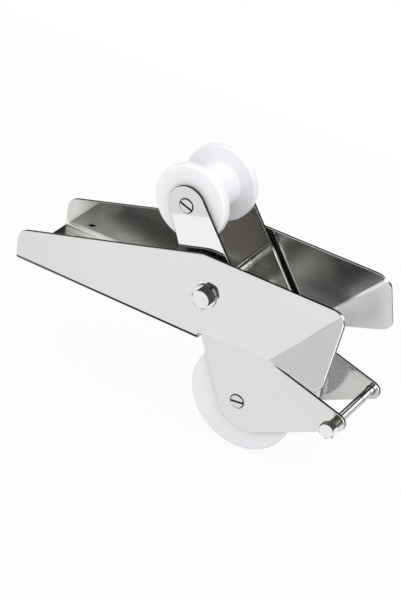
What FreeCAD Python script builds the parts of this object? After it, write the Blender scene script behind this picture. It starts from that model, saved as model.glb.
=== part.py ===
import FreeCAD, Part
import math
import os
import Sketcher

# Hinged bow roller: a folded stainless channel for the stemhead, and a cradle with two nylon rollers that swings in it.
# X points to the bow, Z up. The origin is under the channel floor, at the middle of the four deck bolts.
# The near side is -Y and the far side +Y.

doc = FreeCAD.newDocument("hinged_bow_roller")

SIZES = [
    ("sheet", 3, "thickness of the folded sheet"),
    ("channel_width", 80, "over the outer faces of the walls"),
    ("bend_radius", 2, "inside radius between floor and wall"),
    ("wall_height", 83, "top edge above the underside of the floor"),
    ("rear_height", 30.2, "sloping edge above the floor's underside, at the rear"),
    ("rear_radius", 13, "rounding of the rear top corner"),
    ("knee_reach", 185, "from the rear to where the sloping edge meets the top edge"),
    ("knee_radius", 30, "rounding there"),
    ("front_reach", 322.8, "from the rear to the front top corner"),
    ("front_radius", 14, "rounding of the front top corner"),
    ("tip_reach", 328.7, "from the rear to the nose tip, laid flat"),
    ("tip_height", 14.5, "corner of the tip above the floor's underside"),
    ("tip_radius", 11.5, "rounding of the tip"),
    ("notch_height", 7, "start of the lower edge above the floor's underside"),
    ("notch_radius", 1.5, "rounding in the notch at the floor's end"),
    ("fold_foot", 259, "from the rear to where the fold line meets the lower edge"),
    ("wing_angle", 32, "degrees by which the nose is folded outward"),
    ("fold_radius", 3, "inside radius of that fold"),
    ("deck_bolt", 8, "thread of the four deck bolts"),
    ("deck_rear", 18, "rear edge to the rear deck bolts"),
    ("deck_pitch", 80, "between the deck bolts, along the channel"),
    ("deck_spread", 41, "between the deck bolts, across the channel"),
    ("bolt_clearance", 0.5, "of a bolt hole over its bolt, on the diameter"),
    ("running_clearance", 0.1, "of a turning bore over its pin, on the diameter"),
    ("thread_clearance", 0.02, "of a threaded hole over its thread, on the diameter"),
    ("pivot_reach", 193.5, "from the rear to the pivot"),
    ("pivot_height", 45.8, "pivot above the floor's underside"),
    ("pivot_thread", 10, "thread of the pivot bolt"),
    ("pivot_stand_out", 3, "pivot bolt beyond its lock nut"),
    ("pivot_angle", 52, "degrees from level to a corner of its head"),
    ("pivot_hexagon", 16, "across the flats of its head and lock nut"),
    ("pivot_head", 6.4, "height of its head"),
    ("nut_angle", 20, "degrees from level to a corner of a nut"),
    ("end_chamfer", 1, "at the end of a bolt or screw"),
    ("corner_slope", 30, "degrees of the chamfer on hexagon corners"),
    ("washer_outer", 21, "diameter of the steel washers"),
    ("washer_thickness", 2, "of the steel washers"),
    ("thrust_outer", 22, "diameter of the nylon thrust washers"),
    ("side_gap", 4, "between a wall and the cradle plate beside it"),
    ("side_play", 0.2, "left in that gap beside the thrust washer"),
    ("lock_hexagon", 7, "height of the lock nut's hexagon"),
    ("collar_height", 3, "collar of the lock nut above its hexagon"),
    ("collar_outer", 15, "diameter of that collar"),
    ("collar_wall", 1, "thickness of that collar"),
    ("collar_round", 0.6, "outer edge of that collar"),
    ("ring_height", 2.3, "nylon ring in the lock nut"),
    ("plate", 3, "thickness of a cradle plate"),
    ("stop_gap", 0.05, "between the plates' rear edges and the floor's end, at rest"),
    ("upper_back", 33.6, "pivot back to the upper axle"),
    ("upper_rise", 70.6, "pivot up to the upper axle"),
    ("upper_round", 17.7, "radius of the plate round the upper axle"),
    ("heel_forward", 49, "pivot forward to the centre of the plate's heel"),
    ("heel_drop", 90.4, "pivot down to it"),
    ("heel_round", 28.8, "radius of the heel"),
    ("lower_forward", 41.2, "pivot forward to the lower axle"),
    ("lower_drop", 92.7, "pivot down to it"),
    ("lobe_forward", 134.3, "pivot forward to the lobe at the end of the arm"),
    ("lobe_drop", 70.2, "pivot down to it"),
    ("lobe_round", 8.65, "radius of the lobe"),
    ("elbow_forward", 82.8, "pivot forward to the centre of the hollow over the arm"),
    ("elbow_drop", 20, "pivot down to it"),
    ("elbow_round", 25, "radius of the hollow"),
    ("axle_diameter", 14, "of both axles"),
    ("axle_thread", 8, "thread of the axle screws"),
    ("axle_screw_length", 16, "under the head"),
    ("axle_thread_depth", 18, "threaded hole in each end of an axle, from the plate's outer face"),
    ("axle_chamfer", 0.5, "at the ends of an axle"),
    ("screw_head", 12, "diameter of an axle screw's head"),
    ("screw_head_height", 1, "of an axle screw"),
    ("screw_head_round", 0.3, "edge of that head"),
    ("slot_width", 1.4, "screwdriver slot"),
    ("slot_depth", 0.6, "screwdriver slot"),
    ("upper_slot_angle", -19, "degrees from level to the upper slots"),
    ("lower_slot_angle", 8, "degrees from level to the lower slots"),
    ("roller_play", 0.8, "of a roller between the plates"),
    ("hub_diameter", 27, "raised hub on each face of a roller"),
    ("hub_height", 1.6, "of that hub"),
    ("flange", 8.1, "thickness of a roller's flange"),
    ("flange_round", 2.2, "outer edge of a flange"),
    ("flange_edge", 0.8, "its edge beside the groove"),
    ("groove_round", 1, "root of the groove between the flanges"),
    ("upper_roller_size", 68.6, "diameter over the flanges"),
    ("upper_drum", 40, "diameter at the bottom of the groove"),
    ("lower_roller_size", 99, "diameter over the flanges"),
    ("lower_drum", 62, "diameter at the bottom of the groove"),
    ("retaining_thread", 8, "thread of the retaining bolt"),
    ("retaining_hexagon", 13, "across the flats of its head and nut"),
    ("retaining_head", 7, "height of its head"),
    ("retaining_nut", 4, "height of its nut"),
    ("retaining_stand_off", 9.3, "from the near plate to the underside of the head"),
    ("retaining_stand_out", 0.5, "retaining bolt beyond its nut"),
    ("retaining_angle", 34, "degrees from level to a corner of its head"),
]

WORKED = [
    ("rear", "-size.deck_rear - size.deck_pitch / 2", "rear edge of the channel"),
    ("half_width", "size.channel_width / 2", "outer face of a wall"),
    ("plate_face", "worked.half_width - size.sheet - size.side_gap", "outer face of a cradle plate"),
    ("axle_half", "worked.plate_face - size.plate", "end of an axle"),
    ("roller_half", "worked.axle_half - size.roller_play / 2", "hub of a roller"),
    ("flange_face", "worked.roller_half - size.hub_height", "face of a roller"),
    ("pivot_length", "size.channel_width + 2 * size.washer_thickness + size.lock_hexagon + size.collar_height "
     "+ size.pivot_stand_out", "pivot bolt under its head"),
    ("retaining_length", "size.retaining_stand_off + 2 * worked.plate_face + size.retaining_nut "
     "+ size.retaining_stand_out", "retaining bolt under its head"),
    ("edge_run", "size.upper_back + size.heel_forward", "upper axle forward to the heel"),
    ("edge_fall", "size.upper_rise + size.heel_drop", "upper axle down to the heel"),
    ("edge_span", "sqrt(worked.edge_run ^ 2 + worked.edge_fall ^ 2)", "upper axle to the heel"),
    ("edge_dip", "(atan2(worked.edge_fall; worked.edge_run) "
     "+ asin((size.heel_round - size.upper_round) / worked.edge_span)) / 1 deg",
     "degrees below level of the plates' rear edge"),
    ("edge_drop", "size.pivot_height + size.upper_rise + size.upper_round * -cos(worked.edge_dip) - size.sheet",
     "top of that edge down to the floor"),
    ("floor_end", "size.pivot_reach - size.upper_back - size.upper_round * sin(worked.edge_dip) "
     "+ worked.edge_drop / tan(worked.edge_dip) - size.stop_gap",
     "from the rear to the floor's front end, against which the plates rest"),
    ("lower_slope", "atan2(size.tip_height - size.notch_height; size.tip_reach - worked.floor_end) / 1 deg",
     "degrees of the lower edge"),
    ("foot_height", "size.notch_height + (size.fold_foot - worked.floor_end) * tan(worked.lower_slope)",
     "foot of the fold line"),
    ("front_lean", "atan2(size.tip_reach - size.front_reach; size.wall_height - size.tip_height) / 1 deg",
     "degrees of the front edge"),
    ("corner_reach", "size.front_reach - size.front_radius / tan(45 + worked.front_lean / 2)",
     "from the rear to the centre of the front corner's rounding"),
    ("corner_height", "size.wall_height - size.front_radius", "that centre above the floor's underside"),
    ("fold_run", "worked.corner_reach - size.fold_foot", "fold line, from its foot forward to that centre"),
    ("fold_rise", "worked.corner_height - worked.foot_height", "and up to it"),
    ("fold_lean", "atan2(worked.fold_rise; worked.fold_run) / 1 deg", "degrees from the floor to the fold line"),
    ("fold_back", "size.fold_radius * tan(size.wing_angle / 2)", "fold line to either end of the fold"),
    ("foot_shift", "worked.fold_back / tan(worked.fold_lean - worked.lower_slope)", "lower edge along the fold"),
    ("fold_top", "sqrt(worked.fold_run ^ 2 + worked.fold_rise ^ 2) "
     "+ sqrt(size.front_radius ^ 2 - worked.fold_back ^ 2)", "length of the fold, from its foot to the rounding"),
]


def fill(sheet, rows, mark=""):
    """Write rows of name, content and remark into a sheet, with the name as alias."""
    for row, (name, content, remark) in enumerate(rows, 1):
        sheet.set(f"A{row}", name)
        sheet.set(f"B{row}", mark + str(content))
        sheet.setAlias(f"B{row}", name)
        sheet.set(f"C{row}", remark)


size = doc.addObject("Spreadsheet::Sheet", "size")
fill(size, SIZES)
worked = doc.addObject("Spreadsheet::Sheet", "worked")
fill(worked, WORKED, "=")
doc.recompute()


def number(expression):
    """Present value of an expression over the sheets."""
    result = size.evalExpression(str(expression))
    return getattr(result, "Value", result)


def point(x, y):
    return FreeCAD.Vector(number(x), number(y), 0)


def pin(sketch, geometry, end, x, y):
    """Hold a point of a sketch at two expressions."""
    for kind, expression in (("DistanceX", x), ("DistanceY", y)):
        index = sketch.addConstraint(Sketcher.Constraint(kind, geometry, end, number(expression)))
        sketch.setExpression(f"Constraints[{index}]", str(expression))


def hold_radius(sketch, geometry, expression):
    """Hold the radius of an arc or circle at an expression."""
    index = sketch.addConstraint(Sketcher.Constraint("Radius", geometry, number(expression)))
    sketch.setExpression(f"Constraints[{index}]", str(expression))


def draw_arc(sketch, centre, first, last, turns_left):
    """Draw an arc along the outline, and return it with the ends at which the outline comes in and goes out."""
    spokes = (first - centre, last - centre)
    angles = [math.atan2(spoke.y, spoke.x) for spoke in spokes]
    if not turns_left:
        angles.reverse()
    circle = Part.Circle(centre, FreeCAD.Vector(0, 0, 1), spokes[0].Length)
    geometry = sketch.addGeometry(Part.ArcOfCircle(circle, angles[0], angles[1]))
    return (geometry, 1, 2) if turns_left else (geometry, 2, 1)


def join(sketch, lines, arcs):
    """Make each line run tangent from the arc before it to the arc after it; None stands for a sharp corner."""
    for index, arc in enumerate(arcs):
        before, after = lines[index - 1], lines[index]
        if arc is None:
            sketch.addConstraint(Sketcher.Constraint("Coincident", before, 2, after, 1))
        else:
            sketch.addConstraint(Sketcher.Constraint("Tangent", before, 2, arc[0], arc[1]))
            sketch.addConstraint(Sketcher.Constraint("Tangent", arc[0], arc[2], after, 1))


def outline(sketch, corners):
    """Draw a closed outline through corners, each x, y and, where it is rounded, a radius."""
    places = [point(corner[0], corner[1]) for corner in corners]
    inward, outward, arcs = [], [], []
    for index, corner in enumerate(corners):
        here = places[index]
        back = (places[index - 1] - here).normalize()
        ahead = (places[(index + 1) % len(places)] - here).normalize()
        if len(corner) == 2:
            inward.append(here)
            outward.append(here)
            arcs.append(None)
            continue
        radius = number(corner[2])
        half = back.getAngle(ahead) / 2
        inward.append(here + back * (radius / math.tan(half)))
        outward.append(here + ahead * (radius / math.tan(half)))
        centre = here + (back + ahead).normalize() * (radius / math.sin(half))
        arcs.append(draw_arc(sketch, centre, inward[-1], outward[-1], back.cross(ahead).z < 0))
    lines = [
        sketch.addGeometry(Part.LineSegment(outward[index], inward[(index + 1) % len(corners)]))
        for index in range(len(corners))
    ]
    join(sketch, lines, arcs)
    for index, corner in enumerate(corners):
        if arcs[index] is None:
            pin(sketch, lines[index], 1, corner[0], corner[1])
        else:
            hold_radius(sketch, arcs[index][0], corner[2])
            sharp = sketch.addGeometry(Part.Point(places[index]), True)
            pin(sketch, sharp, 1, corner[0], corner[1])
            sketch.addConstraint(Sketcher.Constraint("PointOnObject", sharp, 1, lines[index - 1]))
            sketch.addConstraint(Sketcher.Constraint("PointOnObject", sharp, 1, lines[index]))


def belt(sketch, rounds):
    """Draw a closed outline of tangents to rounds, each x, y, radius, and 1 for a left turn or -1 for a right turn."""
    centres = [point(x, y) for x, y, radius, turn in rounds]
    radii = [number(radius) * turn for x, y, radius, turn in rounds]
    leaving, arriving = [], []
    for index, centre in enumerate(centres):
        following = (index + 1) % len(rounds)
        apart = centres[following] - centre
        swing = math.asin((radii[following] - radii[index]) / apart.Length)
        heading = math.atan2(apart.y, apart.x) - swing
        left = FreeCAD.Vector(-math.sin(heading), math.cos(heading), 0)
        leaving.append(centre - left * radii[index])
        arriving.append(centres[following] - left * radii[following])
    arcs = [
        draw_arc(sketch, centre, arriving[index - 1], leaving[index], radii[index] > 0)
        for index, centre in enumerate(centres)
    ]
    lines = [
        sketch.addGeometry(Part.LineSegment(first, last)) for first, last in zip(leaving, arriving)
    ]
    join(sketch, lines, arcs)
    for arc, (x, y, radius, turn) in zip(arcs, rounds):
        hold_radius(sketch, arc[0], radius)
        pin(sketch, arc[0], 3, x, y)


def circle(sketch, x, y, diameter):
    """Draw a circle in a sketch."""
    radius = f"({diameter}) / 2"
    ring = Part.Circle(point(x, y), FreeCAD.Vector(0, 0, 1), number(radius))
    geometry = sketch.addGeometry(ring)
    pin(sketch, geometry, 3, x, y)
    hold_radius(sketch, geometry, radius)


def new_body(label):
    body = doc.addObject("PartDesign::Body", label)
    body.Label = label
    return body


def sketch_on(body, role, name, offset="0"):
    """Start a sketch on one of the body's own planes, moved off it by an expression."""
    sketch = body.newObject("Sketcher::SketchObject", name)
    plane = [feature for feature in body.Origin.OriginFeatures if feature.Role == role][0]
    sketch.AttachmentSupport = (plane, [""])
    sketch.MapMode = "FlatFace"
    sketch.setExpression("AttachmentOffset", f"placement(vector(0; 0; {offset}); rotation(vector(0; 0; 1); 0))")
    return sketch


def add(body, kind, name, profile, **settings):
    """Add a feature from a sketch. Settings are expressions, apart from a choice in Type and plain values."""
    before = body.Shape.Volume if body.Tip else 0
    feature = body.newObject("PartDesign::" + kind, name)
    feature.Profile = profile
    for key, content in settings.items():
        if isinstance(content, str) and key != "Type":
            feature.setExpression(key, content)
        else:
            setattr(feature, key, content)
    doc.recompute()
    cuts = kind in ("Pocket", "Groove")
    if cuts != (body.Shape.Volume < before):
        raise RuntimeError(f"{name} changes the volume of {body.Label} the wrong way")
    return feature


def add_turned(body, name, corners, kind="Revolution"):
    """Turn an outline of radii and heights about the body's own Z axis."""
    sketch = sketch_on(body, "XZ_Plane", name + "_outline")
    outline(sketch, corners)
    return add(body, kind, name, sketch, ReferenceAxis=(sketch, ["V_Axis"]))


def add_hexagon(body, name, across, height, bevels):
    """Add a hexagon that stands on the body's XY plane, bevelled at its ends named in bevels."""
    flat = sketch_on(body, "XY_Plane", name + "_outline")
    outline(flat, [(f"{across} / 2 / cos(30) * cos({turn})", f"{across} / 2 / cos(30) * sin({turn})")
                   for turn in range(0, 360, 60)])
    add(body, "Pad", name, flat, Length=height)
    for end in bevels:
        level, into = (height, "-") if end == "top" else ("0", "+")
        depth = f"{across} / 2 * tan(size.corner_slope)"
        corners = [(f"{across} / 2", level), (across, level), (across, f"{level} {into} {depth}")]
        add_turned(body, f"{name}_{end}_bevel", corners, "Groove")


def lay_across(body, x, y, z, side, turn="0"):
    """Point a piece's own Z axis across the channel, to the near side (-1) or the far side (1)."""
    body.setExpression(
        "Placement",
        f"placement(vector({x}; {y}; {z}); "
        f"rotation(vector(1; 0; 0); {-90 * side}) * rotation(vector(0; 0; 1); {turn}))",
    )


def from_rear(reach):
    """Place in X of a reach measured from the rear edge."""
    return f"worked.rear + {reach}"


PIVOT = (from_rear("size.pivot_reach"), "size.pivot_height")
UPPER = (from_rear("size.pivot_reach - size.upper_back"), "size.pivot_height + size.upper_rise")
LOWER = (from_rear("size.pivot_reach + size.lower_forward"), "size.pivot_height - size.lower_drop")
LOBE = (from_rear("size.pivot_reach + size.lobe_forward"), "size.pivot_height - size.lobe_drop")


def channel_blank():
    """Floor and walls, with the nose still straight."""
    body = new_body("channel_blank")
    side = sketch_on(body, "XZ_Plane", "side_outline")
    outline(side, [
        ("worked.rear", "0"),
        (from_rear("worked.floor_end"), "0"),
        (from_rear("worked.floor_end"), "size.notch_height", "size.notch_radius"),
        (from_rear("size.tip_reach"), "size.tip_height", "size.tip_radius"),
        (from_rear("size.front_reach"), "size.wall_height", "size.front_radius"),
        (from_rear("size.knee_reach"), "size.wall_height", "size.knee_radius"),
        ("worked.rear", "size.rear_height", "size.rear_radius"),
    ])
    add(body, "Pad", "side_block", side, Length="size.channel_width", Midplane=True)
    inside = sketch_on(body, "YZ_Plane", "inside_outline")
    wall = "worked.half_width - size.sheet"
    above = "size.wall_height * 2"
    outline(inside, [
        (f"-({wall})", "size.sheet", "size.bend_radius"),
        (wall, "size.sheet", "size.bend_radius"),
        (wall, above),
        (f"-({wall})", above),
    ])
    hollow = add(body, "Pocket", "inside", inside, Type="ThroughAll", Midplane=True)
    bends = body.newObject("PartDesign::Fillet", "bends")
    bends.Base = (hollow, lower_outer_edges(hollow.Shape))
    bends.setExpression("Radius", "size.bend_radius + size.sheet")
    doc.recompute()
    deck = sketch_on(body, "XY_Plane", "deck_holes_outline")
    for along in ("-size.deck_pitch / 2", "size.deck_pitch / 2"):
        for across in ("-size.deck_spread / 2", "size.deck_spread / 2"):
            circle(deck, along, across, "size.deck_bolt + size.bolt_clearance")
    add(body, "Pocket", "deck_holes", deck, Type="ThroughAll", Midplane=True)
    pivot = sketch_on(body, "XZ_Plane", "pivot_holes_outline")
    circle(pivot, *PIVOT, "size.pivot_thread + size.bolt_clearance")
    add(body, "Pocket", "pivot_holes", pivot, Type="ThroughAll", Midplane=True)
    return body


def lower_outer_edges(shape):
    """Names of the two long edges under the floor."""
    names = []
    for index, edge in enumerate(shape.Edges, 1):
        box = edge.BoundBox
        if box.ZMax < 0.001 and box.YLength < 0.001:
            names.append(f"Edge{index}")
    return names


def half_space(name, across, low, high):
    """A block in front of a line parallel to the fold line, between two places in Y."""
    block = doc.addObject("Part::Box", name)
    block.setExpression("Length", "size.tip_reach")
    block.setExpression("Height", "size.tip_reach * 2")
    block.setExpression("Width", f"{high} - ({low})")
    x = from_rear(f"size.fold_foot + ({across}) * sin(worked.fold_lean) - size.tip_reach * cos(worked.fold_lean)")
    z = f"worked.foot_height - ({across}) * cos(worked.fold_lean) - size.tip_reach * sin(worked.fold_lean)"
    block.setExpression(
        "Placement", f"placement(vector({x}; {low}; {z}); rotation(vector(0; 1; 0); 90 - worked.fold_lean))"
    )
    return block


def combine(kind, name, base, tool):
    """A boolean of two objects."""
    made = doc.addObject("Part::" + kind, name)
    made.Base = base
    made.Tool = tool
    return made


def fold_section(name, share, low):
    """The sheet's section along the fold, turned by a share of the wing angle about the fold's axis."""
    sketch = doc.addObject("Sketcher::SketchObject", name)
    outline(sketch, [
        (low, "-worked.half_width"),
        ("worked.fold_top", "-worked.half_width"),
        ("worked.fold_top", "-worked.half_width + size.sheet"),
        (low, "-worked.half_width + size.sheet"),
    ])
    x = from_rear("size.fold_foot - worked.fold_back * sin(worked.fold_lean)")
    z = "worked.foot_height + worked.fold_back * cos(worked.fold_lean)"
    axis = "vector(cos(worked.fold_lean); 0; sin(worked.fold_lean))"
    centre = f"vector({x}; -worked.half_width - size.fold_radius; {z})"
    sketch.setExpression(
        "Placement",
        f"placement(vector(0; 0; 0); rotation({axis}; -size.wing_angle * {share}); {centre}) "
        f"* placement(vector({x}; 0; {z}); rotation(vector(0; 1; 0); -worked.fold_lean))",
    )
    return sketch


def channel_frame():
    """The channel, its nose folded outward on both sides along slanted lines."""
    blank = channel_blank()
    rear_of_fold = half_space("front_of_wall", "-worked.fold_back", "-size.channel_width", "size.channel_width")
    trunk = combine("Cut", "channel_trunk", blank, rear_of_fold)
    front_of_fold = half_space("front_of_fold", "worked.fold_back", "-size.channel_width", "0")
    nose = combine("Common", "nose_near", blank, front_of_fold)
    nose.setExpression(
        "Placement",
        "placement(vector(0; 0; 0); "
        "rotation(vector(cos(worked.fold_lean); 0; sin(worked.fold_lean)); -size.wing_angle); "
        f"vector({from_rear('size.fold_foot')}; -worked.half_width; worked.foot_height))",
    )
    fold = doc.addObject("Part::Loft", "fold_near")
    fold.Sections = [
        fold_section("fold_start", 0, "-worked.foot_shift"),
        fold_section("fold_middle", 0.5, "0"),
        fold_section("fold_finish", 1, "worked.foot_shift"),
    ]
    fold.Solid = True
    doc.recompute()
    pieces = [trunk]
    for piece in (nose, fold):
        mirrored = doc.addObject("Part::Mirroring", piece.Name + "_mirrored")
        mirrored.Source = piece
        mirrored.Normal = (0, 1, 0)
        pieces += [piece, mirrored]
    whole = doc.addObject("Part::MultiFuse", "channel_frame")
    whole.Shapes = pieces
    whole.Refine = True
    return whole


def hexagon_bolt(label, thread, length, across, height):
    """Hexagon bolt, its head standing on the body's XY plane."""
    body = new_body(label)
    add_turned(body, label + "_shank", [
        ("0", f"-{length}"),
        (f"{thread} / 2 - size.end_chamfer", f"-{length}"),
        (f"{thread} / 2", f"-{length} + size.end_chamfer"),
        (f"{thread} / 2", "0"),
        ("0", "0"),
    ])
    add_hexagon(body, label + "_head", across, height, ["top"])
    return body


def slotted_screw(label):
    """Axle screw with a slotted head."""
    body = new_body(label)
    length = "size.axle_screw_length"
    thread = "size.axle_thread / 2"
    head = "size.screw_head / 2"
    add_turned(body, label + "_blank", [
        ("0", f"-{length}"),
        (f"{thread} - size.end_chamfer", f"-{length}"),
        (thread, f"-{length} + size.end_chamfer"),
        (thread, "0"),
        (head, "0"),
        (head, "size.screw_head_height", "size.screw_head_round"),
        ("0", "size.screw_head_height"),
    ])
    slot = sketch_on(body, "XY_Plane", label + "_slot_outline", "size.screw_head_height")
    across = "size.slot_width / 2"
    outline(slot, [("-size.screw_head", f"-{across}"), ("size.screw_head", f"-{across}"),
                   ("size.screw_head", across), ("-size.screw_head", across)])
    add(body, "Pocket", label + "_slot", slot, Length="size.slot_depth")
    return body


def ring(label, outer, inner, thickness):
    """Flat ring that stands on the body's XY plane."""
    body = new_body(label)
    flat = sketch_on(body, "XY_Plane", label + "_outline")
    circle(flat, "0", "0", outer)
    circle(flat, "0", "0", inner)
    add(body, "Pad", label + "_ring", flat, Length=thickness)
    return body


def bore(body, diameter):
    """Cut a threaded hole right through along the body's own Z axis."""
    flat = sketch_on(body, "XY_Plane", body.Label + "_bore_outline")
    circle(flat, "0", "0", diameter)
    add(body, "Pocket", body.Label + "_bore", flat, Type="ThroughAll", Midplane=True)


def plain_nut(label, thread, across, height):
    body = new_body(label)
    add_hexagon(body, label + "_hexagon", across, height, ["bottom", "top"])
    bore(body, f"{thread} + size.thread_clearance")
    return body


def lock_nut(label, thread, across):
    """Hexagon with a thin collar that holds a nylon ring."""
    body = new_body(label)
    add_hexagon(body, label + "_hexagon", across, "size.lock_hexagon", ["bottom"])
    collar = "size.collar_outer / 2"
    top = "size.lock_hexagon + size.collar_height"
    add_turned(body, label + "_collar", [
        (f"{collar} - size.collar_wall", "size.lock_hexagon"),
        (collar, "size.lock_hexagon"),
        (collar, top, "size.collar_round"),
        (f"{collar} - size.collar_wall", top),
    ])
    bore(body, f"{thread} + size.thread_clearance")
    return body


def cradle_plate(label, side):
    """Side plate of the cradle, drawn from the pivot: a leg down to the heel and an arm forward to the lobe."""
    body = new_body(label)
    sketch = sketch_on(body, "XZ_Plane", label + "_outline", f"{-side} * worked.plate_face")
    belt(sketch, [
        ("-size.upper_back", "size.upper_rise", "size.upper_round", 1),
        ("size.heel_forward", "-size.heel_drop", "size.heel_round", 1),
        ("size.lobe_forward", "-size.lobe_drop", "size.lobe_round", 1),
        ("size.elbow_forward", "-size.elbow_drop", "size.elbow_round", -1),
    ])
    circle(sketch, "0", "0", "size.pivot_thread + size.running_clearance")
    screw_hole = "size.axle_thread + size.bolt_clearance"
    circle(sketch, "-size.upper_back", "size.upper_rise", screw_hole)
    circle(sketch, "size.lower_forward", "-size.lower_drop", screw_hole)
    circle(sketch, "size.lobe_forward", "-size.lobe_drop", "size.retaining_thread + size.bolt_clearance")
    add(body, "Pad", label + "_sheet", sketch, Length="size.plate", Reversed=side < 0)
    body.setExpression(
        "Placement", f"placement(vector({PIVOT[0]}; 0; {PIVOT[1]}); rotation(vector(0; 0; 1); 0))"
    )
    return body


def axle(label):
    """Rod between the plates with a threaded hole in each end."""
    body = new_body(label)
    end = "worked.axle_half"
    floor = "(worked.plate_face - size.axle_thread_depth)"
    thread = "(size.axle_thread + size.thread_clearance) / 2"
    rod = "size.axle_diameter / 2"
    add_turned(body, label + "_rod", [
        ("0", f"-{floor}"),
        (thread, f"-{floor}"),
        (thread, f"-{end}"),
        (f"{rod} - size.axle_chamfer", f"-{end}"),
        (rod, f"-{end} + size.axle_chamfer"),
        (rod, f"{end} - size.axle_chamfer"),
        (f"{rod} - size.axle_chamfer", end),
        (thread, end),
        (thread, floor),
        ("0", floor),
    ])
    return body


def roller(label, outer, drum):
    """Turned spool: two flanges, a drum between them and a low hub on each face."""
    body = new_body(label)
    inner = "(size.axle_diameter + size.running_clearance) / 2"
    hub = "size.hub_diameter / 2"
    root = "(worked.flange_face - size.flange)"
    add_turned(body, label + "_spool", [
        (inner, "-worked.roller_half"),
        (hub, "-worked.roller_half"),
        (hub, "-worked.flange_face"),
        (f"{outer} / 2", "-worked.flange_face", "size.flange_round"),
        (f"{outer} / 2", f"-{root}", "size.flange_edge"),
        (f"{drum} / 2", f"-{root}", "size.groove_round"),
        (f"{drum} / 2", root, "size.groove_round"),
        (f"{outer} / 2", root, "size.flange_edge"),
        (f"{outer} / 2", "worked.flange_face", "size.flange_round"),
        (hub, "worked.flange_face"),
        (hub, "worked.roller_half"),
        (inner, "worked.roller_half"),
    ])
    return body


def pivot_pieces():
    """Bolt across the channel, with its washers and lock nut."""
    x, z = PIVOT
    thread = "size.pivot_thread"
    steel = ("size.washer_outer", f"{thread} + size.bolt_clearance", "size.washer_thickness")
    nylon = ("size.thrust_outer", f"{thread} + size.bolt_clearance", "size.side_gap - size.side_play")
    outside = "worked.half_width + size.washer_thickness"
    beside = "worked.plate_face + size.side_play / 2"

    bolt = hexagon_bolt("pivot_bolt", thread, "worked.pivot_length", "size.pivot_hexagon", "size.pivot_head")
    lay_across(bolt, x, f"-({outside})", z, -1, "size.pivot_angle")
    head_washer = ring("pivot_head_washer", *steel)
    lay_across(head_washer, x, "-worked.half_width", z, -1)
    near_thrust = ring("pivot_thrust_washer_near", *nylon)
    lay_across(near_thrust, x, f"-({beside})", z, -1)
    far_thrust = ring("pivot_thrust_washer_far", *nylon)
    lay_across(far_thrust, x, beside, z, 1)
    nut_washer = ring("pivot_nut_washer", *steel)
    lay_across(nut_washer, x, "worked.half_width", z, 1)
    nut = lock_nut("pivot_lock_nut", thread, "size.pivot_hexagon")
    lay_across(nut, x, outside, z, 1, "size.nut_angle")
    insert = ring("pivot_lock_nut_ring", "size.collar_outer - 2 * size.collar_wall - size.thread_clearance",
                  f"{thread} + size.thread_clearance", "size.ring_height")
    lay_across(insert, x, f"{outside} + size.lock_hexagon", z, 1)
    return [bolt, head_washer, near_thrust, far_thrust, nut_washer, nut, insert]


def roller_set(name, place, outer, drum, slot_turn):
    """A roller on its axle, and the two screws that hold the axle between the plates."""
    x, z = place
    spool = roller(name + "_roller", outer, drum)
    rod = axle(name + "_axle")
    near_screw = slotted_screw(name + "_axle_screw_near")
    far_screw = slotted_screw(name + "_axle_screw_far")
    lay_across(spool, x, "0", z, 1)
    lay_across(rod, x, "0", z, 1)
    lay_across(near_screw, x, "-worked.plate_face", z, -1, slot_turn)
    lay_across(far_screw, x, "worked.plate_face", z, 1, slot_turn)
    return [spool, rod, near_screw, far_screw]


def retaining_pieces():
    """Bolt through the lobes of both plates, its head standing off the near plate, and its nut."""
    x, z = LOBE
    thread = "size.retaining_thread"
    across = "size.retaining_hexagon"
    bolt = hexagon_bolt("retaining_bolt", thread, "worked.retaining_length", across, "size.retaining_head")
    lay_across(bolt, x, "-(worked.plate_face + size.retaining_stand_off)", z, -1, "size.retaining_angle")
    nut = plain_nut("retaining_bolt_nut", thread, across, "size.retaining_nut")
    lay_across(nut, x, "worked.plate_face", z, 1, "size.nut_angle")
    return [bolt, nut]


parts = [channel_frame(), cradle_plate("cradle_plate_near", -1), cradle_plate("cradle_plate_far", 1)]
parts += pivot_pieces()
parts += roller_set("upper", UPPER, "size.upper_roller_size", "size.upper_drum", "size.upper_slot_angle")
parts += roller_set("lower", LOWER, "size.lower_roller_size", "size.lower_drum", "size.lower_slot_angle")
parts += retaining_pieces()
doc.recompute()

for item in doc.Objects:
    if "Invalid" in item.State or "Error" in item.State:
        raise RuntimeError(f"{item.Label} is not up to date: {item.State}")
for part in parts:
    if part.Shape.isNull() or not part.Shape.isValid() or len(part.Shape.Solids) != 1:
        raise RuntimeError(f"{part.Label} is not one valid solid")

os.makedirs("parts", exist_ok=True)
for part in parts:
    part.Shape.exportStep(f"parts/{part.Label}.step")
    print(part.Label, round(part.Shape.Volume, 1))
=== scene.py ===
import bmesh
import bpy
import math
from mathutils import Matrix, Vector


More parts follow.
